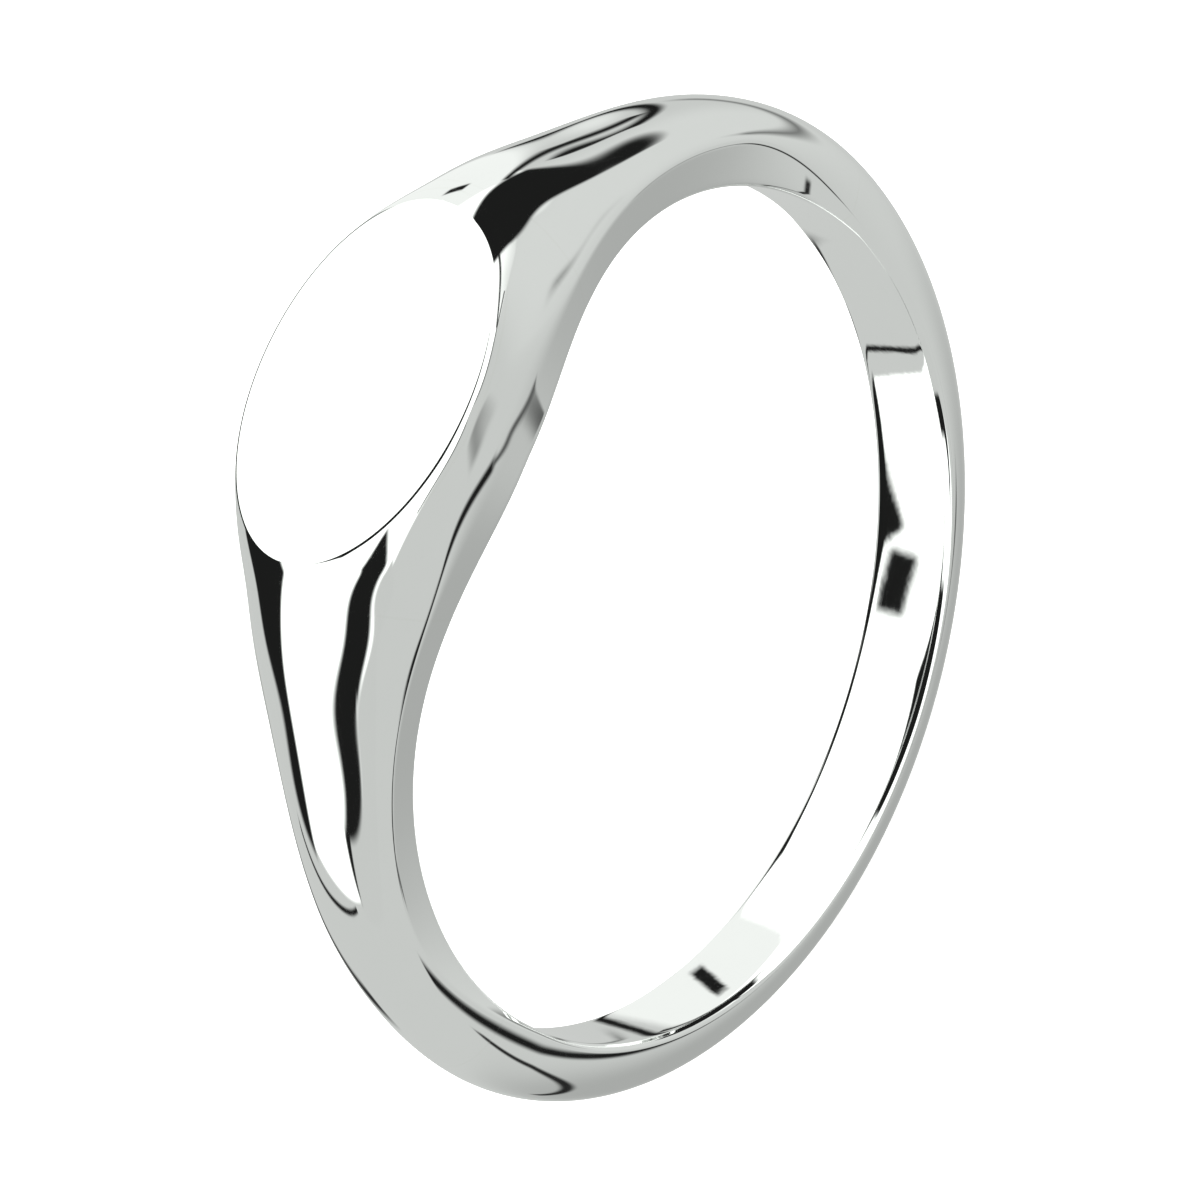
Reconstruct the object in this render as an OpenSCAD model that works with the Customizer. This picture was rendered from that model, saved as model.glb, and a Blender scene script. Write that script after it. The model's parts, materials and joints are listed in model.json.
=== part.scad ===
// Signet ring with a blank oval table.
// Frame: the bore runs along Y, the table faces +Z, and the origin is the centre of the bore.
// Angles are measured about the bore in degrees, from the middle of the table towards +X.

/* [Finger size] */
// Inner diameter of the band
bore_d = 17.25; // [14:0.25:23]

/* [Table] */
// Length of the oval table, along X
table_len = 8.0; // [5:0.1:12]
// Width of the oval table, along Y
table_wid = 5.2; // [3.5:0.1:8]
// Height of the table's face above the bore wall
table_rise = 2.58; // [2:0.1:4]
// Thickness of the table plate
plate_t = 0.23; // [0.15:0.01:0.6]

/* [Shoulders] */
// Angle over which the wide head narrows into the shoulders
narrowing = 29.7; // [24:0.1:38]
// How far the ridge stands outside the edge of the bore
ridge_out = 0.2; // [0.05:0.01:0.35]
// Height of the flat side face on the shoulders
side_h = 0.98; // [0.5:0.02:1.3]
// Extra height of the side face at the middle of the head
side_rise = 0.8; // [0.2:0.05:1]
// Extra thickness that the shoulders carry over the back of the band
shoulder_rise = 0.85; // [0.3:0.05:1.5]

/* [Shank] */
// Width of the bore wall at the back of the band
shank_wid = 1.5; // [1:0.05:3]
// Thickness of the band at the back
shank_t = 1.1; // [0.8:0.05:2]
// Height of the softened edge at the back of the band
edge_h = 0.12; // [0.06:0.01:0.3]

/* [Solder] */
// Thickness of every soldered seam
solder_t = 0.05; // [0.02:0.01:0.12]

/* [Hidden] */

silver = [0.87, 0.88, 0.88];
solder_silver = [0.78, 0.79, 0.78];

bore_r = bore_d / 2;
table_z = bore_r + table_rise;            // face of the table
plate_z = table_z - plate_t;              // underside of the plate
seat_z = plate_z - solder_t;              // top of the head block
tip_a = atan(table_len / 2 / table_z);    // angle of the table's tip
shank_a = 90;                             // middle of the seam between shoulder and shank
seam_a = solder_t / 2 / (bore_r + shank_t / 2) * 180 / PI;

oval_step = 6;                            // sampling of the table's outline, in degrees
shoulder_step = 2.5;                      // sampling of the shoulders
shank_step = 4;                           // sampling of the shank
flank_n = 14;                             // points on each flank
flank_end = 0.96;                         // the last of them, just short of the middle of the crown
seam_span = 1;                            // the sections on each side of a seam, in degrees from it
bore_skin = 0.1;                          // how far the skin runs into the bore
blank_t = table_rise + 2;                 // the blank is thicker and wider than any section
blank_y = table_wid;

side_fade_from = 62;                      // the side face starts to die away here
side_fade_to = 100;                       // and has gone here
side_spread = 13;                         // how far round the head's extra side height reaches
narrow_power = 1.47;
head_round = 6;                           // rounds the plan of the head at its middle, in degrees
dome_spread = 32;                         // how far round the dome of the head reaches
dome_power = 3.4;
pull_in = 0.56;                           // how far the head's flank is pulled in from the ridge
flank_band = 0.9;                         // fullness of the flank from the shoulders on
flank_weight = 0.87;
weight_spread = 7;                        // the head's flank turns into the shoulder's over this angle

function fade(from, to, x) = let (t = min(max((x - from) / (to - from), 0), 1)) t * t * (3 - 2 * t);
function turn(a) = abs(a) > 180 ? 360 - abs(a) : abs(a);

// Half width of the bore wall at angle t
function wall_y(t) =
    let (u = sqrt(t * t + head_round * head_round) - head_round)
    shank_wid / 2 + (table_wid - shank_wid) / 2 * exp(-pow(u / narrowing, narrow_power));

// Height of the flat side face at angle t
function side_at(t) =
    edge_h + (side_h - edge_h) * (1 - fade(side_fade_from, side_fade_to, t))
    + side_rise * exp(-pow(t / side_spread, 2));

// Heights above the bore wall: the flat table, and the crown without the head's dome
function table_h(t) = table_z / cos(t) - bore_r;
function crown_base(t) = shank_t + shoulder_rise * (1 + cos(t)) / 2;

// The head is a dome that the table cuts off flat, so that the crown meets the table at its tip
dome = (table_h(tip_a) - crown_base(tip_a)) * exp(pow(tip_a / dome_spread, dome_power));
function dome_at(t) = dome * exp(-pow(t / dome_spread, dome_power));
function crown(t) = crown_base(t) + dome_at(t);

// How steeply the crown breaks down from the table at its tip
tip_fall = shoulder_rise / 2 * sin(tip_a)
    + dome_at(tip_a) * dome_power * pow(tip_a / dome_spread, dome_power) / tip_a * 180 / PI;
tip_r = bore_r + crown(tip_a);
tip_drop = (tip_r * sin(tip_a) + tip_fall * cos(tip_a)) / (tip_r * cos(tip_a) - tip_fall * sin(tip_a));

// The seams of the head lie just past the place where the top of the block meets the crown
seat_a = atan((table_len / 2 + (table_z - seat_z) / tip_drop) / seat_z);
head_a = seat_a + seam_span;              // middle of the seam between head block and shoulder

// How far out the flank is pulled: 1 is straight above the ridge
flank_head = 1 - pull_in * ridge_out / (table_wid / 2 + ridge_out);
function fullness(t) = flank_band + (flank_head - flank_band) * exp(-pow(t / tip_a, 2));

// Weight of the pull that brings the flank to the table's outline, for t inside the table
function exact_weight(t) =
    let (x = table_z * tan(t),
         outline_y = table_wid / 2 * sqrt(1 - pow(2 * x / table_len, 2)),
         ridge_y = wall_y(t) + ridge_out,
         low = (crown(t) - table_h(t)) / (crown(t) - side_at(t)),
         mid = (outline_y - ridge_y * low) / (ridge_y * fullness(t)))
    mid / (2 * sqrt(low * (1 - low - mid)));

// Weight of the pull at angle t: past the table it eases to that of the band
near_tip = 0.96 * tip_a;
slope_step = 0.2;
tip_weight = exact_weight(near_tip);
tip_slope = (tip_weight - exact_weight(near_tip - slope_step)) / slope_step;
function weight_at(t) =
    t < near_tip ? exact_weight(t)
    : flank_weight + (tip_weight - flank_weight + tip_slope * (t - near_tip))
      * exp(-pow((t - near_tip) / weight_spread, 2));

// Where the table cuts the flank: 1 is the middle of the crown
function table_cut(t) =
    let (low = (crown(t) - table_h(t)) / (crown(t) - side_at(t)),
         w = weight_at(t), share = sqrt(w * w + 1 / low - 1) - w)
    share / (1 + share);

// One point of the flank: from the ridge (u = 0), pulled out and up, to the middle of the crown (u = 1)
function flank(t, u) =
    let (ridge_y = wall_y(t) + ridge_out,
         b0 = pow(1 - u, 2), b1 = 2 * u * (1 - u) * weight_at(t), b2 = u * u, b = b0 + b1 + b2)
    [(b0 + b1 * fullness(t)) * ridge_y / b, (b0 * side_at(t) + (b1 + b2) * crown(t)) / b];

// Half of the section, from inside the bore over the ridge to the table's edge or just beside the middle
function half_section(t) =
    let (last = t < tip_a - 0.001 ? min(table_cut(t), flank_end) : flank_end, w = wall_y(t))
    concat([[w - ridge_out * bore_skin / side_at(t), -bore_skin]],
           [for (i = [0:flank_n]) flank(t, last * i / flank_n)]);

// The whole section at angle a, placed in space
function section(a) =
    let (half = half_section(turn(a)), n = len(half),
         top = turn(a) < tip_a ? table_h(turn(a)) : crown(turn(a)),
         flat = concat(half, [[0, top]],
                       [for (i = [n - 1:-1:0]) [-half[i][0], half[i][1]]]))
    [for (p = flat) [(bore_r + p[1]) * sin(a), p[0], (bore_r + p[1]) * cos(a)]];

// Evenly spaced angles, between and with the two ends
function spread(from, to, step) =
    let (n = ceil((to - from) / step)) [for (i = [0:n]) from + (to - from) * i / n];

// Each seam lies between two sections that all three pieces there share, so their skins meet flush
function astride(a) = [a - seam_span, a + seam_span];

// Angles across the head: the oval is sampled evenly along its own outline
function head_angles() =
    concat(astride(-head_a),
           [for (q = [-90:oval_step:90]) atan(table_len / 2 * sin(q) / table_z)],
           astride(head_a));

function shoulder_angles() =
    concat([head_a - seam_span], spread(head_a + seam_span, shank_a - seam_span, shoulder_step),
           [shank_a + seam_span]);

function shank_angles() =
    concat([shank_a - seam_span],
           spread(shank_a + seam_span, 360 - shank_a - seam_span, shank_step),
           [360 - shank_a + seam_span]);

// The skin of the band through the sections at these angles, running a little into the bore
module skin(angles) {
    rings = [for (a = angles) section(a)];
    m = len(rings[0]);
    n = len(rings);
    points = [for (r = rings) each r];
    // the left half's facets mirror the right half's
    sides = [for (j = [0:n - 2], i = [0:m - 1])
        let (k = (i + 1) % m, p = j * m, q = (j + 1) * m,
             left = sin((angles[j] + angles[j + 1]) / 2) < -0.0001)
        each left ? [[p + i, q + i, p + k], [q + i, q + k, p + k]]
                  : [[p + i, q + i, q + k], [p + i, q + k, p + k]]];
    first = [[for (i = [0:m - 1]) i]];
    last = [[for (i = [m - 1:-1:0]) (n - 1) * m + i]];
    polyhedron(points, concat(sides, first, last), convexity = 6);
}

// The round blank between two angles: its inner wall is the bore and its ends are flat seam faces
module blank(from, to) {
    rotate([90, 0, 0]) rotate([0, 0, 90 - to]) rotate_extrude(angle = to - from, $fn = 360)
        translate([bore_r, -blank_y]) square([blank_t, 2 * blank_y]);
}

// A length of the band, trimmed to its seam faces and bored to the finger size
module band(angles, from, to) {
    intersection() {
        skin(angles);
        blank(from, to);
    }
}

// The part of the head between two heights: the plate is filed flush with the block under it
module slice(from_z, to_z) {
    intersection() {
        skin(head_angles());
        translate([-table_len, -blank_y, from_z]) cube([2 * table_len, 2 * blank_y, to_z - from_z]);
    }
}

module table_plate() {
    color(silver) slice(plate_z, table_z + blank_t);
}

module plate_solder() {
    color(solder_silver) slice(seat_z, plate_z);
}

module head_block() {
    color(silver) intersection() {
        band(head_angles(), -(head_a - seam_a), head_a - seam_a);
        translate([-table_len, -blank_y, 0]) cube([2 * table_len, 2 * blank_y, seat_z]);
    }
}

module seam(a) {
    color(solder_silver) band(astride(a), a - seam_a, a + seam_a);
}

module right_shoulder() {
    color(silver) band(shoulder_angles(), head_a + seam_a, shank_a - seam_a);
}

module left_shoulder() {
    mirror([1, 0, 0]) right_shoulder();
}

module shank() {
    color(silver) band(shank_angles(), shank_a + seam_a, 360 - shank_a - seam_a);
}

table_plate();
plate_solder();
head_block();
seam(-head_a);  // left_head_solder
seam(head_a);  // right_head_solder
left_shoulder();
right_shoulder();
seam(-shank_a);  // left_shank_solder
seam(shank_a);  // right_shank_solder
shank();
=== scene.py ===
# %% [markdown]
# # A silver signet ring, modelled as a bench jeweller builds it
#
# The ring is five pieces of silver joined by five films of hard solder: a head block, two shoulders, a
# plain shank and a thin oval table plate on top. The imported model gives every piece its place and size.
# This lesson makes the polished surfaces that a customer sees, and it never moves the fixed frame.

# %% Load the frame
import json
import math

import bpy
from mathutils import Matrix, Vector


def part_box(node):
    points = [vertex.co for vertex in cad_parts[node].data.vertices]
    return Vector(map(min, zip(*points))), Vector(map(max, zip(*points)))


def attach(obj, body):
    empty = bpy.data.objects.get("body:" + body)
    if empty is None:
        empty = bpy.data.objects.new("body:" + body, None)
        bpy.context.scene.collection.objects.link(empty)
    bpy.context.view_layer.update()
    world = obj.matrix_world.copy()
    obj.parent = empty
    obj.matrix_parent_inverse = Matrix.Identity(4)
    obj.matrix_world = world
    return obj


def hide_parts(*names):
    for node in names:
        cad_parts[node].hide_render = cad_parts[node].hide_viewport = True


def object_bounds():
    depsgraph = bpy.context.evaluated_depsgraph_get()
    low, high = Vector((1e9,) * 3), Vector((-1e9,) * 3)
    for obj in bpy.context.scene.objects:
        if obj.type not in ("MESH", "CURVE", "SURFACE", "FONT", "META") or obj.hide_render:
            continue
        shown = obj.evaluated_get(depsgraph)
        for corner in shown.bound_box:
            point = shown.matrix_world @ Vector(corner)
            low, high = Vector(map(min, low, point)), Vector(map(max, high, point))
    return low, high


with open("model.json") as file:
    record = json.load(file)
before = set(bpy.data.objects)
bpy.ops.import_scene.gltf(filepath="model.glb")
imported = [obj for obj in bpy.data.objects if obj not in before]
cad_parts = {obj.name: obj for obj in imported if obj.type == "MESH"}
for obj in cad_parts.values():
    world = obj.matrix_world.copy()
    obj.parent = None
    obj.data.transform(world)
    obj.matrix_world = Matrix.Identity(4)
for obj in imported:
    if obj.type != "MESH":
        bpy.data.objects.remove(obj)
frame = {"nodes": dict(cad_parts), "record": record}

MM = 0.001
MERGE = 0.0001          # points closer than this, in modelling units, are one point
cad_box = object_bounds()
print("CAD box in mm:", [tuple(round(c / MM, 2) for c in corner) for corner in cad_box])

# %% [markdown]
# ## The sizes
#
# Lengths are in millimetres and angles in degrees, measured about the finger bore from the middle of the
# table. What the frame knows is taken from the frame: the bore from its mount, and the heights of the plate
# and its solder from their boxes. The rest are the driving dimensions of the design.

# %% Sizes from the frame
mounts = {m["name"]: m["dims"] for m in frame["record"]["mounts"]}
bore_r = mounts["finger_bore"]["r_mm"]
plate_low, plate_high = (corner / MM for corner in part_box("table_plate"))
film_low, film_high = (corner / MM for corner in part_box("plate_solder"))
table_z, plate_z, seat_z = plate_high.z, plate_low.z, film_low.z
solder_t = film_high.z - film_low.z
print(f"bore radius {bore_r:.3f}, table at {table_z:.3f}, plate from {plate_z:.3f}, seat at {seat_z:.3f} mm")

# %% Driving sizes of the design
table_len, table_wid = 8.0, 5.2
shank_wid, shank_t = 1.5, 1.1                   # the band at the back
narrowing, narrow_power = 29.7, 1.47            # how soon the bore wall narrows away from the head
head_round = 6                                  # keeps that narrowing level over the middle of the head
ridge_out = 0.2                                 # the ridge stands this far out past the bore wall
side_h, edge_h = 0.98, 0.12                     # height of the ridge on the shoulder and on the shank
side_rise, side_spread = 0.8, 13                # how much higher it climbs beside the table
side_fade_from, side_fade_to = 62, 100          # between these angles it dies away
shoulder_rise = 0.85                            # extra height of the crown at the head
dome_spread, dome_power = 32, 3.4               # the dome that the table cuts flat
flank_band, flank_weight = 0.9, 0.87            # how full the flank is past the table
pull_in, weight_spread = 0.56, 7                # how it leans in beside the table, and how soon that ends
seam_span = 1                                   # the head seams lie this far past the seat's edge
last_polish = 0.008                             # buffing takes this much off the crown

tip_a = math.degrees(math.atan(table_len / 2 / table_z))
shank_a = 90
seam_a = math.degrees(solder_t / 2 / (bore_r + shank_t / 2))
print(f"table ends at {tip_a:.2f} degrees, seams {2 * seam_a:.2f} wide")

# %% [markdown]
# ## The laws of the shape
#
# A signet ring is a band whose cross-section changes all the way round. Wide and tall at the head, narrow
# and low at the back. A jeweller files it by eye from a thick blank, but every step between head and back
# is one smooth flow. So each measure of the section is written as a short law of the angle `t`.

# %% Laws of the section
def fade(a, b, x):
    """0 before a, 1 after b, and a smooth step between."""
    s = min(max((x - a) / (b - a), 0), 1)
    return s * s * (3 - 2 * s)


def wall_y(t):
    """Half width of the bore wall."""
    u = math.hypot(t, head_round) - head_round
    return shank_wid / 2 + (table_wid - shank_wid) / 2 * math.exp(-((u / narrowing) ** narrow_power))


def side_at(t):
    """Height of the ridge, where the flat side face ends."""
    band = edge_h + (side_h - edge_h) * (1 - fade(side_fade_from, side_fade_to, t))
    return band + side_rise * math.exp(-((t / side_spread) ** 2))


def crown_base(t):
    """Height of the crown without the dome."""
    return shank_t - last_polish + shoulder_rise * (1 + math.cos(math.radians(t))) / 2


def table_h(t):
    """Height of the table's face above the bore wall."""
    return table_z / math.cos(math.radians(t)) - bore_r


dome = (table_h(tip_a) - crown_base(tip_a)) * math.exp((tip_a / dome_spread) ** dome_power)


def crown(t):
    """Height of the middle of the band. Over the table it is the dome that the flat table cuts away."""
    return crown_base(t) + dome * math.exp(-((t / dome_spread) ** dome_power))


flank_head = 1 - pull_in * ridge_out / (table_wid / 2 + ridge_out)


def fullness(t):
    """How far out the flank is pulled: 1 would be straight above the ridge."""
    return flank_band + (flank_head - flank_band) * math.exp(-((t / tip_a) ** 2))


def exact_weight(t):
    """The weight of the pull that brings the flank to the outline of the table, for t inside the table."""
    x = table_z * math.tan(math.radians(t))
    outline_y = table_wid / 2 * math.sqrt(1 - (2 * x / table_len) ** 2)
    ridge_y = wall_y(t) + ridge_out
    low = (crown(t) - table_h(t)) / (crown(t) - side_at(t))
    mid = (outline_y - ridge_y * low) / (ridge_y * fullness(t))
    return mid / (2 * math.sqrt(low * (1 - low - mid)))


near_tip = 0.96 * tip_a
slope_step = 0.2
tip_weight = exact_weight(near_tip)
tip_slope = (tip_weight - exact_weight(near_tip - slope_step)) / slope_step


def weight_at(t):
    """The weight of the pull. Past the table it eases smoothly to that of the band."""
    if t < near_tip:
        return exact_weight(t)
    past = t - near_tip
    over = tip_weight - flank_weight + tip_slope * past
    return flank_weight + over * math.exp(-((past / weight_spread) ** 2))


fall_step = 0.01
fall = (crown(tip_a) - crown(tip_a + fall_step)) / math.radians(fall_step)
tip_r = bore_r + crown(tip_a)
tip_sin, tip_cos = math.sin(math.radians(tip_a)), math.cos(math.radians(tip_a))
tip_drop = (tip_r * tip_sin + fall * tip_cos) / (tip_r * tip_cos - fall * tip_sin)
seat_a = math.degrees(math.atan((table_len / 2 + (table_z - seat_z) / tip_drop) / seat_z))
head_a = seat_a + seam_span
print(f"past its tip the table breaks down by {math.degrees(math.atan(tip_drop)):.1f} degrees")
print(f"shoulders start at {head_a:.2f} degrees")
print("half width of the bore wall at 0, 30, 60, 90 degrees:", [round(wall_y(t), 2) for t in (0, 30, 60, 90)])
print("weight of the pull at 0, 10, 20, 30, 40 degrees:", [round(weight_at(t), 3) for t in range(0, 50, 10)])

# %% [markdown]
# ## One half of the section
#
# The half section starts at the middle of the finger side. It runs along the bore wall, turns the softened
# inner edge, climbs the flat side face, turns over the ridge, and rolls up the flank to the table or crown.
# Real polished edges are never sharp: a buffing wheel leaves a small radius, and that radius is what
# catches the light. Both corners are therefore short curves that meet their neighbours tangentially.

# %% The half section, corner by corner
inner_round = 0.13                              # rounding of the bore's edges
ridge_round = 0.07                              # rounding of the ridge on the band
ridge_soft, ridge_soft_spread = 0.75, 13        # how much softer the ridge is beside the table
table_edge = 0.05                               # rounding of the table's edge
wall_relief = 0.02                              # the bore wall opens by this much at its edges
edge_pull, ridge_pull = 0.75, 0.8               # how square the rounded corners are
most_of = 0.9                                   # a rounding takes no more than this share of its face
nudge = 0.001                                   # a small step along the flank, to measure its slope
wall_n, inner_n, side_n, ridge_n, flank_n, edge_n = 14, 10, 8, 12, 64, 4


def ridge_cut(t):
    """How far the ridge's rounding reaches along each face. Beside the table it melts into the head."""
    return ridge_round + ridge_soft * math.exp(-((t / ridge_soft_spread) ** 2))


def arc_point(a, corner, b, u, weight):
    """A point on the rounded corner from a to b, pulled towards the corner by its weight."""
    b0, b1, b2 = (1 - u) ** 2, 2 * u * (1 - u) * weight, u * u
    return (a * b0 + corner * b1 + b * b2) / (b0 + b1 + b2)


def crossing(a, da, b, db):
    """Where the line through a along da meets the line through b along db."""
    k = ((b - a).x * db.y - (b - a).y * db.x) / (da.x * db.y - da.y * db.x)
    return a + da * k


def table_cut(t, weight):
    """How far along the flank the table cuts it: 1 is the middle of the crown."""
    if t >= tip_a:
        return 1
    low = (crown(t) - table_h(t)) / (crown(t) - side_at(t))
    share = math.sqrt(weight ** 2 + 1 / low - 1) - weight
    return share / (1 + share)


def half_section(t):
    """Points (y, h) from the middle of the bore wall up to the table or crown; h is above the bore wall."""
    w = wall_y(t)
    ridge = Vector((w + ridge_out, side_at(t)))
    top = Vector((0, crown(t)))
    pull = Vector((ridge.x * fullness(t), top.y))
    weight = weight_at(t)

    def flank(u):
        return arc_point(ridge, pull, top, u, weight)

    foot = Vector((w, 0))
    climb = (ridge - foot).normalized()
    inner = min(inner_round, ridge.y * 0.8)
    points = [Vector((i / wall_n * (w - inner), wall_relief * (i / wall_n) ** 2)) for i in range(wall_n)]
    on_wall = Vector((w - inner, wall_relief))
    slope = Vector((w - inner, 2 * wall_relief)).normalized()
    inner_corner = crossing(on_wall, slope, foot, climb)
    on_side = foot + climb * inner
    points += [arc_point(on_wall, inner_corner, on_side, i / inner_n, edge_pull) for i in range(inner_n)]

    room = (ridge - on_side).length
    cut = min(ridge_cut(t), room * most_of)
    start = ridge - climb * cut
    points += [on_side.lerp(start, i / side_n) for i in range(side_n)]
    u_cut = cut / (2 * weight * (pull - ridge).length)
    end = flank(u_cut)
    along = (flank(u_cut + nudge) - flank(u_cut - nudge)).normalized()
    corner = crossing(start, climb, end, along)
    points += [arc_point(start, corner, end, i / ridge_n, ridge_pull) for i in range(ridge_n)]

    u_top = table_cut(t, weight)
    edge = flank(u_top)
    roll = min(table_edge, 0.4 * edge.x)
    u_edge = u_top - roll / ((edge - flank(u_top - nudge)).length / nudge)
    points += [flank(u_cut + (u_edge - u_cut) * i / flank_n) for i in range(flank_n + 1)]
    on_flank, on_table = flank(u_edge), edge - Vector((roll, 0))
    points += [arc_point(on_flank, edge, on_table, i / edge_n, edge_pull) for i in range(1, edge_n + 1)]
    return points


half_n = len(half_section(45))
print(f"{half_n} points in each half section")

# %% [markdown]
# ## The rows round the ring
#
# The section is repeated at many angles. The rows lie closer together where the shape turns quickly, beside
# the table, and a row lies exactly on each face of every solder seam, so that the pieces can be cut there.

# %% Angles of the rows
def spaced(a, b, n):
    """n angles from a towards b, without b."""
    return [a + (b - a) * i / n for i in range(n)]


half_len = table_len / 2
table_rows, head_rows, seam_rows, shoulder_rows, shank_rows = 64, 24, 2, 146, 120
beside_table = [math.degrees(math.atan(half_len * math.sin(math.pi / 2 * i / table_rows) / table_z))
                for i in range(table_rows)]
right_half = (beside_table + spaced(tip_a, head_a - seam_a, head_rows)
              + spaced(head_a - seam_a, head_a + seam_a, seam_rows)
              + spaced(head_a + seam_a, shank_a - seam_a, shoulder_rows)
              + spaced(shank_a - seam_a, shank_a + seam_a, seam_rows)
              + spaced(shank_a + seam_a, 180, shank_rows))
row_angles = right_half + [180] + [-a for a in reversed(right_half[1:])]
print(f"{len(row_angles)} rows round the ring")

# %% [markdown]
# ## Helpers for working in edit mode
#
# Blender's operators act on whatever is selected, so each helper first clears the selection. The ring is
# modelled with one unit to the millimetre, because bevels and merges then work with handy numbers, and a
# finished piece is brought to metres by scaling its mesh.

# %% Selection helpers
def only(obj):
    """Makes obj the only selected object, and the active one."""
    bpy.ops.object.select_all(action="DESELECT")
    obj.select_set(True)
    bpy.context.view_layer.objects.active = obj
    return obj


def pick(obj, kind, wanted):
    """Selects the vertices, edges or faces of obj for which wanted(element) is true, in edit mode."""
    only(obj)
    bpy.ops.object.mode_set(mode="EDIT")
    bpy.ops.mesh.select_mode(type=kind)
    bpy.ops.mesh.select_all(action="DESELECT")
    bpy.ops.object.mode_set(mode="OBJECT")
    elements = {"VERT": obj.data.vertices, "EDGE": obj.data.edges, "FACE": obj.data.polygons}[kind]
    chosen = [bool(wanted(e)) for e in elements]
    elements.foreach_set("select", chosen)
    bpy.ops.object.mode_set(mode="EDIT")
    return sum(chosen)


def to_metres(obj):
    """Brings a mesh made in millimetres to metres, with the object itself at the origin."""
    obj.data.transform(Matrix.Scale(MM, 4) @ obj.matrix_world)
    obj.matrix_world = Matrix.Identity(4)
    return obj


# %% [markdown]
# ## The polished skin
#
# All of the band is first made as one skin. It starts as a flat sheet, ruled like graph paper, with a line
# across for every row and a line along for every point of the section. Each crossing is then moved to its
# place by the laws, which rolls the sheet into the ring, and the two ends are merged. Making one skin first
# matters: a ring is polished after it is soldered, so reflections flow across the seams without a break.

# %% Roll the ruled sheet into the band
def band_point(t, point, side):
    """A point of the half section, placed in the ring: t turns about the bore, side is +1 or -1 along it."""
    a = math.radians(t)
    r = bore_r + point.y
    return Vector((r * math.sin(a), side * point.x, r * math.cos(a)))


def band_row(t):
    """One whole row, from the table or crown down one flank, under the bore wall and up the other flank."""
    half = half_section(abs(t))
    return ([band_point(t, p, 1) for p in reversed(half)]
            + [band_point(t, p, -1) for p in half[1:]])


rows = [band_row(t) for t in row_angles]
columns = len(rows[0])
bpy.ops.object.select_all(action="DESELECT")
bpy.ops.mesh.primitive_grid_add(x_subdivisions=columns - 1, y_subdivisions=len(rows), size=1)
skin = bpy.context.object
skin.name = "polished_skin"
for v in skin.data.vertices:
    column = round((v.co.x + 0.5) * (columns - 1))
    row = round((v.co.y + 0.5) * len(rows)) % len(rows)
    v.co = rows[row][column]
pick(skin, "VERT", lambda v: True)
bpy.ops.mesh.remove_doubles(threshold=MERGE)
bpy.ops.mesh.normals_make_consistent(inside=False)
bpy.ops.object.mode_set(mode="OBJECT")
print(f"skin: {len(skin.data.vertices)} points, {len(skin.data.polygons)} faces")

# %% [markdown]
# ## Remembering the polished normals
#
# A mirror finish shows the slightest kink. When a smooth skin is cut, Blender works out the shading at the
# new edge from one side only, and a hairline appears in the reflections. So the skin's normals are noted on
# its points now, and each piece takes them back after it has been cut and closed.

# %% Note the normals
noted = skin.data.attributes.new("polished_normal", "FLOAT_VECTOR", "POINT")
normals = [c for v in skin.data.vertices for c in v.normal]
for v in skin.data.vertices:
    if abs(v.co.z - table_z) < MERGE:
        normals[3 * v.index:3 * v.index + 3] = (0, 0, 1)
noted.data.foreach_set("vector", normals)
print(f"{len(noted.data)} normals noted")

# %% [markdown]
# ## Cutting the band into its pieces
#
# On the bench the head block, the shoulders and the shank are separate blanks, filed to meet flat and
# soldered. Each piece here is a copy of the skin with the rest deleted and its ends closed by flat faces.
# The solder films are cut in the same way from the narrow strips in between.

# %% Cut one piece from the skin
ANGLE_SLACK = 0.01      # angles closer than this, in degrees, are one angle


def angle_of(co):
    """The angle of a point about the bore, from the middle of the table."""
    return math.degrees(math.atan2(co.x, co.z))


def close_flat(obj, on_rim):
    """Fills the open rim whose points are picked by on_rim with one flat face."""
    uses = [0] * len(obj.data.edges)
    edge_of = {tuple(sorted(e.vertices)): e.index for e in obj.data.edges}
    for face in obj.data.polygons:
        for key in face.edge_keys:
            uses[edge_of[tuple(sorted(key))]] += 1
    spots = obj.data.vertices
    pick(obj, "EDGE", lambda e: uses[e.index] == 1 and all(on_rim(spots[i].co) for i in e.vertices))
    bpy.ops.mesh.edge_face_add()
    bpy.ops.object.mode_set(mode="OBJECT")


def saw_flat(obj, z, keep_above):
    """Saws a piece straight across at height z and closes the cut with one flat face."""
    pick(obj, "VERT", lambda v: True)
    bpy.ops.mesh.bisect(plane_co=(0, 0, z), plane_no=(0, 0, 1), use_fill=True, threshold=MERGE,
                        clear_inner=keep_above, clear_outer=not keep_above)
    bpy.ops.object.mode_set(mode="OBJECT")


def finish_piece(obj, flat_corners=8):
    """Brings a piece to metres, and shades it by its noted normals. Faces with more corners stay flat."""
    to_metres(obj)
    mesh = obj.data
    normal_at = [Vector(n.vector).normalized() for n in mesh.attributes["polished_normal"].data]
    loop_normals = [None] * len(mesh.loops)
    for face in mesh.polygons:
        flat = len(face.vertices) > flat_corners
        face.use_smooth = not flat
        for loop, vertex in zip(face.loop_indices, face.vertices):
            loop_normals[loop] = face.normal.copy() if flat else normal_at[vertex]
    mesh.normals_split_custom_set(loop_normals)
    mesh.attributes.remove(mesh.attributes["polished_normal"])
    return obj


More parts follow.
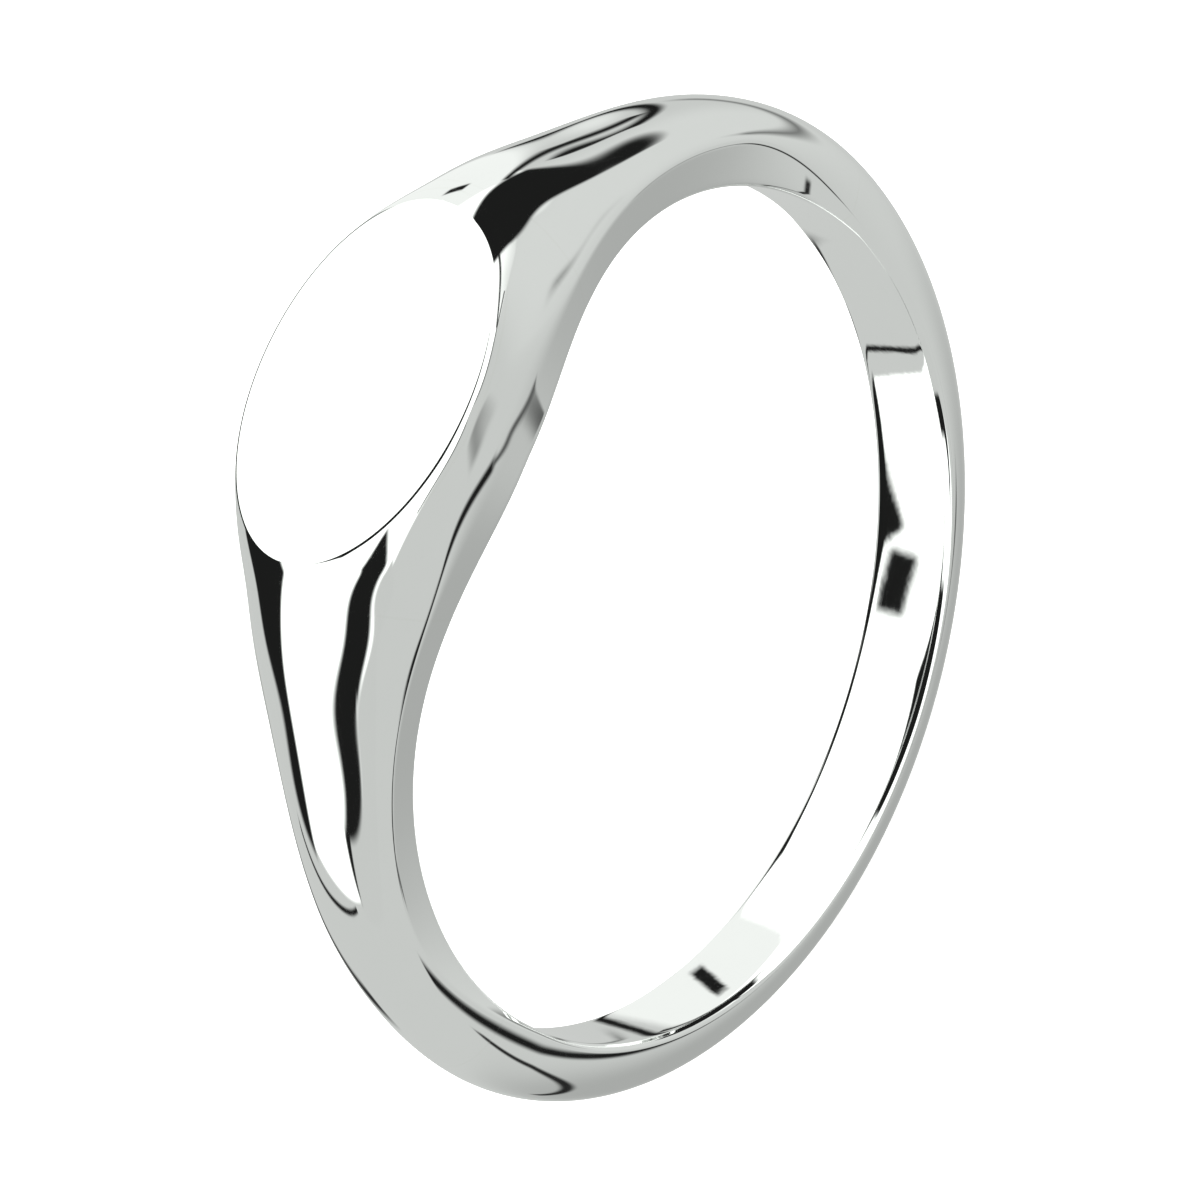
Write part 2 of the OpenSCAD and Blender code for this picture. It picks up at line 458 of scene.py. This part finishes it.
def cut_piece(name, start, end, close_ends=True):
    """A length of the band between two angles. start may be negative, for a piece across the middle."""
    middle = (start + end) / 2
    reach = (end - start) / 2 + ANGLE_SLACK

    def outside(v):
        off = (angle_of(v.co) - middle + 180) % 360 - 180
        return abs(off) > reach

    only(skin)
    bpy.ops.object.duplicate()
    piece = bpy.context.object
    piece.name = name
    piece.data.name = name
    pick(piece, "VERT", outside)
    bpy.ops.mesh.delete(type="VERT")
    bpy.ops.object.mode_set(mode="OBJECT")
    for rim in (start, end) if close_ends else ():
        close_flat(piece, lambda co: abs((angle_of(co) - rim + 180) % 360 - 180) < ANGLE_SLACK)
    return piece


# %% [markdown]
# The table plate is a thin oval, sawn from sheet, soldered on the flat top of the head block and then filed
# down flush with it, so that plate, solder and head share one flank. Here all three come from one length of
# the skin, sawn across at the underside of the plate and at the top of the block. The edge of the table
# itself keeps a crisp line, only just taken off by the last polish: that is the fine outline of the oval.

# %% Saw the head into plate, solder and block
head = cut_piece("head_block_polished", seam_a - head_a, head_a - seam_a)
saw_flat(head, seat_z, keep_above=False)
plate = cut_piece("table_plate_polished", seam_a - head_a, head_a - seam_a, close_ends=False)
film = cut_piece("plate_seam", seam_a - head_a, head_a - seam_a, close_ends=False)
saw_flat(plate, plate_z, keep_above=True)
close_flat(plate, lambda co: abs(co.z - table_z) < MERGE)
saw_flat(film, seat_z, keep_above=True)
saw_flat(film, plate_z, keep_above=False)

# %% Cut the other pieces of the band
band = {
    "table_plate": plate,
    "plate_solder": film,
    "head_block": head,
    "left_head_solder": cut_piece("left_head_seam", -head_a - seam_a, -head_a + seam_a),
    "right_head_solder": cut_piece("right_head_seam", head_a - seam_a, head_a + seam_a),
    "left_shoulder": cut_piece("left_shoulder_polished", -shank_a + seam_a, -head_a - seam_a),
    "right_shoulder": cut_piece("right_shoulder_polished", head_a + seam_a, shank_a - seam_a),
    "left_shank_solder": cut_piece("left_shank_seam", -shank_a - seam_a, -shank_a + seam_a),
    "right_shank_solder": cut_piece("right_shank_seam", shank_a - seam_a, shank_a + seam_a),
    "shank": cut_piece("shank_polished", shank_a + seam_a, 360 - shank_a - seam_a),
}
for node, piece in band.items():
    finish_piece(piece)
    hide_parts(node)
    print(f"{piece.name}: {len(piece.data.polygons)} faces")
only(skin)
bpy.ops.object.delete()

# %% [markdown]
# ## Silver
#
# Polished sterling silver is almost a mirror. What tells it from chrome plate is a soft, faintly warm-green
# grey, a very gentle waviness left by hand filing, and hair-fine wheel marks that only dull the shine.
# Two small node groups make these, and each material places them with its own values.

# %% Node helpers
def new_group(name, inputs, outputs):
    """A shader node group with named sockets. Returns the tree, its input node and its output node."""
    tree = bpy.data.node_groups.new(name, "ShaderNodeTree")
    for socket, kind in inputs:
        tree.interface.new_socket(socket, in_out="INPUT", socket_type=kind)
    for socket, kind in outputs:
        tree.interface.new_socket(socket, in_out="OUTPUT", socket_type=kind)
    return tree, tree.nodes.new("NodeGroupInput"), tree.nodes.new("NodeGroupOutput")


def node(tree, kind, inputs=None, **settings):
    """Adds a node. inputs maps a socket's name or number to a value or to another node's output."""
    made = tree.nodes.new(kind)
    for key, value in settings.items():
        setattr(made, key, value)
    for key, value in (inputs or {}).items():
        if isinstance(value, bpy.types.NodeSocket):
            tree.links.new(value, made.inputs[key])
        else:
            made.inputs[key].default_value = value
    return made


def maths(tree, operation, a, b=0.0):
    """Adds a math node and returns its result."""
    return node(tree, "ShaderNodeMath", {0: a, 1: b}, operation=operation).outputs[0]


# %% The waviness of hand filing
FLOAT, VECTOR, COLOR = "NodeSocketFloat", "NodeSocketVector", "NodeSocketColor"

hand_filed, given, made = new_group(
    "hand_filed", [("Vector", VECTOR), ("Waves", FLOAT), ("Inside", FLOAT)], [("Height", FLOAT)])
slow = node(hand_filed, "ShaderNodeTexNoise",
            {"Vector": given.outputs["Vector"], "Scale": 700.0, "Detail": 1.0})
quick = node(hand_filed, "ShaderNodeTexNoise",
             {"Vector": given.outputs["Vector"], "Scale": 2600.0, "Detail": 2.0})
rippled = maths(hand_filed, "MULTIPLY", quick.outputs["Fac"], given.outputs["Inside"])
waved = maths(hand_filed, "MULTIPLY", slow.outputs["Fac"], given.outputs["Waves"])
hand_filed.links.new(maths(hand_filed, "ADD", waved, rippled), made.inputs["Height"])
print("group:", hand_filed.name, [i.name for i in hand_filed.interface.items_tree])

# %% [markdown]
# Wheel marks are scratches too fine to see one by one. Long thin noise makes them: the pattern is squeezed
# across the mark and stretched along it. They raise the roughness a little and shift the tone by a trace.

# %% Wheel marks
wheel_marks, given, made = new_group(
    "wheel_marks",
    [("Vector", VECTOR), ("Silver", COLOR), ("Dulled", COLOR), ("Polish", FLOAT), ("Marks", FLOAT)],
    [("Color", COLOR), ("Roughness", FLOAT)])
squeezed = node(wheel_marks, "ShaderNodeMapping",
                {"Vector": given.outputs["Vector"], "Scale": (900, 14000, 900)})
hairs = node(wheel_marks, "ShaderNodeTexNoise", {"Vector": squeezed.outputs[0], "Scale": 1.0, "Detail": 3.0})
patches = node(wheel_marks, "ShaderNodeTexNoise",
               {"Vector": given.outputs["Vector"], "Scale": 900.0, "Detail": 2.0})
fine = node(wheel_marks, "ShaderNodeMapRange",
            {"Value": hairs.outputs["Fac"], "From Min": 0.52, "From Max": 0.75})
marked = maths(wheel_marks, "MULTIPLY", fine.outputs[0], patches.outputs["Fac"])
rough = maths(wheel_marks, "MULTIPLY", marked, given.outputs["Marks"])
wheel_marks.links.new(maths(wheel_marks, "ADD", rough, given.outputs["Polish"]), made.inputs["Roughness"])
tone = node(wheel_marks, "ShaderNodeMix",
            {"Factor": patches.outputs["Fac"], "A": given.outputs["Silver"], "B": given.outputs["Dulled"]},
            data_type="RGBA")
wheel_marks.links.new(tone.outputs["Result"], made.inputs["Color"])
print("group:", wheel_marks.name)


# %% [markdown]
# The inside of a ring is polished with a thin mop on a stick, which leaves it a little more rippled than the
# outside. The distance from the bore's axis tells the shader which side it is on.

# %% The silver itself
def silver_material(name, silver, dulled, polish, marks, waves, ripples):
    """A mirror finish, from its two tones, its roughness, its marks and the height of its waves in mm."""
    material = bpy.data.materials.new(name)
    material.use_nodes = True
    tree = material.node_tree
    tree.nodes.clear()
    place = node(tree, "ShaderNodeTexCoord").outputs["Object"]
    split = node(tree, "ShaderNodeSeparateXYZ", {0: place})
    across = node(tree, "ShaderNodeCombineXYZ", {"X": split.outputs["X"], "Z": split.outputs["Z"]})
    radius = node(tree, "ShaderNodeVectorMath", {0: across.outputs[0]}, operation="LENGTH").outputs["Value"]
    inside = node(tree, "ShaderNodeMapRange",
                  {"Value": radius, "From Min": (bore_r + 0.02) * MM, "From Max": (bore_r + 0.12) * MM,
                   "To Min": ripples, "To Max": 0.0}).outputs[0]
    filed = node(tree, "ShaderNodeGroup", node_tree=hand_filed)
    tree.links.new(place, filed.inputs["Vector"])
    tree.links.new(inside, filed.inputs["Inside"])
    filed.inputs["Waves"].default_value = waves
    wheel = node(tree, "ShaderNodeGroup", node_tree=wheel_marks)
    tree.links.new(place, wheel.inputs["Vector"])
    wheel.inputs["Silver"].default_value = (*silver, 1)
    wheel.inputs["Dulled"].default_value = (*dulled, 1)
    wheel.inputs["Polish"].default_value = polish
    wheel.inputs["Marks"].default_value = marks
    bump = node(tree, "ShaderNodeBump", {"Height": filed.outputs["Height"], "Distance": MM, "Strength": 1.0})
    shader = node(tree, "ShaderNodeBsdfPrincipled", {"Metallic": 1.0})
    tree.links.new(wheel.outputs["Color"], shader.inputs["Base Color"])
    tree.links.new(wheel.outputs["Roughness"], shader.inputs["Roughness"])
    tree.links.new(bump.outputs["Normal"], shader.inputs["Normal"])
    out = node(tree, "ShaderNodeOutputMaterial")
    tree.links.new(shader.outputs[0], out.inputs["Surface"])
    return material


mirror_silver = silver_material("mirror_silver", (0.955, 0.965, 0.955), (0.94, 0.95, 0.94),
                                polish=0.03, marks=0.05, waves=0.0006, ripples=0.0010)
hard_solder = silver_material("hard_solder", (0.945, 0.955, 0.94), (0.93, 0.94, 0.925),
                              polish=0.05, marks=0.06, waves=0.0006, ripples=0.0010)
print("materials:", [m.name for m in (mirror_silver, hard_solder)])


# %% Dress the pieces
def dress(piece, material):
    """Gives a piece its material and the body that it rides on."""
    piece.data.materials.clear()
    piece.data.materials.append(material)
    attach(piece, "root")


for name, piece in band.items():
    if name.endswith("solder"):
        dress(piece, hard_solder)
    else:
        dress(piece, mirror_silver)
for name, cad_node in frame["nodes"].items():
    cad_node.data.materials.clear()
    cad_node.data.materials.append(hard_solder if name.endswith("solder") else mirror_silver)
print(f"{len(band)} pieces dressed")

# %% [markdown]
# ## The studio
#
# A mirror has no look of its own: it shows the room. Silver is shown in a tent of white cloth, with
# bright panels for the highlights and black cards that draw the dark contours. The tent is the world here.
# Each panel or card is a soft-edged rectangle on the sky, placed by the direction in which it stands.

# %% A soft-edged panel on the sky
panel_group, given, made = new_group(
    "studio_panel",
    [("Behind", COLOR), ("Level", COLOR), ("Direction", VECTOR), ("Facing", VECTOR), ("Across", VECTOR),
     ("Up", VECTOR), ("Half Width", FLOAT), ("Half Height", FLOAT), ("Soft", FLOAT)],
    [("Color", COLOR)])


def dot(tree, a, b):
    """How far direction a goes along direction b."""
    return node(tree, "ShaderNodeVectorMath", {0: a, 1: b}, operation="DOT_PRODUCT").outputs["Value"]


ray = given.outputs["Direction"]
depth = dot(panel_group, ray, given.outputs["Facing"])
mask = maths(panel_group, "GREATER_THAN", depth, 0.02)
for axis, half in (("Across", "Half Width"), ("Up", "Half Height")):
    sideways = maths(panel_group, "DIVIDE", dot(panel_group, ray, given.outputs[axis]), depth)
    off = maths(panel_group, "ABSOLUTE", sideways)
    inner = maths(panel_group, "SUBTRACT", given.outputs[half], given.outputs["Soft"])
    outer = maths(panel_group, "ADD", given.outputs[half], given.outputs["Soft"])
    edge = node(panel_group, "ShaderNodeMapRange",
                {"Value": off, "From Min": inner, "From Max": outer, "To Min": 1.0, "To Max": 0.0},
                interpolation_type="SMOOTHSTEP").outputs[0]
    mask = maths(panel_group, "MULTIPLY", mask, edge)
shown = node(panel_group, "ShaderNodeMix", {"Factor": mask}, data_type="RGBA")
panel_group.links.new(given.outputs["Behind"], shown.inputs["A"])
panel_group.links.new(given.outputs["Level"], shown.inputs["B"])
panel_group.links.new(shown.outputs["Result"], made.inputs["Color"])

# %% Hang the panels and cards
def towards(azimuth, elevation):
    """The unit vector from the ring towards a place: azimuth 0 is in front, along -Y, and 90 is along +X."""
    a, e = math.radians(azimuth), math.radians(elevation)
    return Vector((math.sin(a) * math.cos(e), -math.cos(a) * math.cos(e), math.sin(e)))


WHITE, BLACK = 1.5, 0.012
# name: azimuth, elevation, roll, half width, half height (as tangents), softness, level
panels = {
    "right_fill": (75, -25, 0, 0.60, 0.50, 0.30, 0.70),
    "right_sky": (140, -8, 38, 0.62, 0.32, 0.03, 0.95),
    "front_card": (-66, 6, -13, 0.50, 0.14, 0.03, BLACK),
    "front_card_end": (-47, 9, 0, 0.16, 0.17, 0.03, BLACK),
    "front_sheet": (-62, -8, 10, 0.50, 0.15, 0.02, 0.60),
    "ceiling_card": (-40, 74, 0, 0.60, 0.55, 0.04, BLACK),
    "back_card": (-142, 37.5, 42, 0.12, 0.07, 0.03, BLACK),
    "left_card": (-158, 9, -4, 0.45, 0.36, 0.03, BLACK),
    "far_card": (167, 10, 0, 0.34, 0.35, 0.03, BLACK),
    "right_card": (88, 3, -15, 0.32, 0.29, 0.03, BLACK),
    "front_gap": (15, -6.5, 0, 0.75, 0.012, 0.010, BLACK),
    "right_gap": (55, 1, -22, 0.30, 0.014, 0.010, BLACK),
    "left_gap": (-125, -13, -8, 0.45, 0.014, 0.010, BLACK),
    "right_streak": (115, -11, 52, 0.22, 0.018, 0.015, BLACK),
    "right_slope": (125, -24, 34, 0.32, 0.020, 0.015, BLACK),
    "right_smudge": (95, -45, -8, 0.62, 0.030, 0.050, 0.15),
    "floor_line": (1, -55, 29, 0.20, 0.030, 0.020, BLACK),
    "floor_line_end": (32, -62, 23, 0.12, 0.012, 0.012, 0.10),
    "floor_hook": (-52, -72, -29, 0.42, 0.018, 0.012, 0.02),
    "back_gap": (-166, -42, 0, 0.22, 0.050, 0.040, 0.03),
    "back_spot": (126, 0.5, 0, 0.06, 0.035, 0.015, BLACK),
    "front_blur": (13, -38, 0, 0.05, 0.14, 0.050, 0.30),
}


def grey(level):
    """White cloth bounces a very faint green, more so in the half tones."""
    return (level * 0.975, level, level * 0.975, 1)


world = bpy.data.worlds.new("studio")
bpy.context.scene.world = world
world.use_nodes = True
sky = world.node_tree
sky.nodes.clear()
direction = node(sky, "ShaderNodeTexCoord").outputs["Generated"]
height = node(sky, "ShaderNodeSeparateXYZ", {0: direction}).outputs["Z"]
near = node(sky, "ShaderNodeMapRange", {"Value": height, "From Min": -0.98, "From Max": -0.82},
            interpolation_type="SMOOTHSTEP").outputs[0]
table_cloth = node(sky, "ShaderNodeMix", {"Factor": near}, data_type="RGBA")
table_cloth.inputs["A"].default_value = grey(0.42)
table_cloth.inputs["B"].default_value = grey(0.61)
above = node(sky, "ShaderNodeMapRange", {"Value": height, "From Min": -0.13, "From Max": -0.10},
             interpolation_type="SMOOTHSTEP").outputs[0]
tent = node(sky, "ShaderNodeMix", {"Factor": above}, data_type="RGBA")
tent.inputs["B"].default_value = grey(WHITE)
sky.links.new(table_cloth.outputs["Result"], tent.inputs["A"])
colour = tent.outputs["Result"]
for name, (azimuth, elevation, roll, half_w, half_h, soft, level) in panels.items():
    facing = towards(azimuth, elevation)
    flat_right = Vector((0, 0, 1)).cross(-facing).normalized()
    upright = flat_right.cross(facing)
    turned = math.radians(roll)
    right = flat_right * math.cos(turned) + upright * math.sin(turned)
    up = upright * math.cos(turned) - flat_right * math.sin(turned)
    panel = node(sky, "ShaderNodeGroup", node_tree=panel_group, name=name, label=name)
    sky.links.new(colour, panel.inputs["Behind"])
    sky.links.new(direction, panel.inputs["Direction"])
    panel.inputs["Level"].default_value = grey(level)
    panel.inputs["Facing"].default_value = facing
    panel.inputs["Across"].default_value = right
    panel.inputs["Up"].default_value = up
    panel.inputs["Half Width"].default_value = half_w
    panel.inputs["Half Height"].default_value = half_h
    panel.inputs["Soft"].default_value = soft
    colour = panel.outputs["Color"]
print(f"{len(panels)} panels hung")

# %% The backdrop that the camera sees
PALE = (1.0, 1.0, 1.0, 1)
tent_light = node(sky, "ShaderNodeBackground", {"Color": colour, "Strength": 1.0})
backdrop = node(sky, "ShaderNodeBackground", {"Color": PALE, "Strength": 1.0})
seen = node(sky, "ShaderNodeLightPath").outputs["Is Camera Ray"]
chosen = node(sky, "ShaderNodeMixShader", {0: seen, 1: tent_light.outputs[0], 2: backdrop.outputs[0]})
sky_out = node(sky, "ShaderNodeOutputWorld")
sky.links.new(chosen.outputs[0], sky_out.inputs["Surface"])

# %% [markdown]
# ## Floor and lamp
#
# The floor is a plain white sheet of acrylic, lit a little from below, as jewellery often is. With a soft
# lamp overhead it stays evenly white, so the ring leaves hardly any shadow. The floor and the lamp are
# hidden from reflections, because the tent already gives the ring all that it mirrors.

# %% Floor and lamp
floor_size = 0.6
floor_z = cad_box[0].z
bpy.ops.mesh.primitive_plane_add(size=floor_size, location=(0, 0, floor_z))
floor = bpy.context.object
floor.name = "floor"
floor.visible_glossy = False
acrylic = bpy.data.materials.new("white_acrylic")
acrylic.use_nodes = True
acrylic_shader = acrylic.node_tree.nodes["Principled BSDF"]
acrylic_shader.inputs["Base Color"].default_value = (0.93, 0.93, 0.92, 1)
acrylic_shader.inputs["Roughness"].default_value = 0.9
acrylic_shader.inputs["Specular IOR Level"].default_value = 0.1
acrylic_shader.inputs["Emission Color"].default_value = (1, 1, 1, 1)
acrylic_shader.inputs["Emission Strength"].default_value = 0.5
floor.data.materials.append(acrylic)

lamp_data = bpy.data.lights.new("overhead_lamp", "AREA")
lamp_data.size = 0.8
lamp_data.energy = 2.0
lamp = bpy.data.objects.new("overhead_lamp", lamp_data)
bpy.context.scene.collection.objects.link(lamp)
lamp.location = (0, 0, 0.35)
lamp.visible_glossy = False
lamp.visible_camera = False
print(f"floor {floor_size} m wide at z = {floor_z:.5f} m")

# %% [markdown]
# ## The camera
#
# The ring is seen from above its front, with the camera rolled well over, so that the ring seems to stand on
# one shoulder. A very long lens keeps the far side of the band as large as the near side, which is the same
# as a straight projection.

# %% Camera
view_azimuth, view_elevation, view_roll = -20.01, 51.08, -50.78
frame_width = 23.76
aim_right, aim_up = -0.792, 0.135
camera_distance = 150

back = towards(view_azimuth, view_elevation)
level_right = Vector((0, 0, 1)).cross(back).normalized()
level_up = back.cross(level_right)
roll_angle = math.radians(view_roll)
cam_right = level_right * math.cos(roll_angle) + level_up * math.sin(roll_angle)
cam_up = back.cross(cam_right)
spot = (cam_right * aim_right + cam_up * aim_up + back * camera_distance) * MM

camera_data = bpy.data.cameras.new("camera")
camera_data.type = "ORTHO"
camera_data.ortho_scale = frame_width * MM
camera_data.clip_start, camera_data.clip_end = 0.01, 2
camera = bpy.data.objects.new("camera", camera_data)
bpy.context.scene.collection.objects.link(camera)
turn = Matrix((cam_right, cam_up, back)).transposed().to_4x4()
camera.matrix_world = Matrix.Translation(spot) @ turn
bpy.context.scene.camera = camera
bpy.context.scene.view_settings.view_transform = "Standard"
print("camera looks along", tuple(round(c, 3) for c in -back))
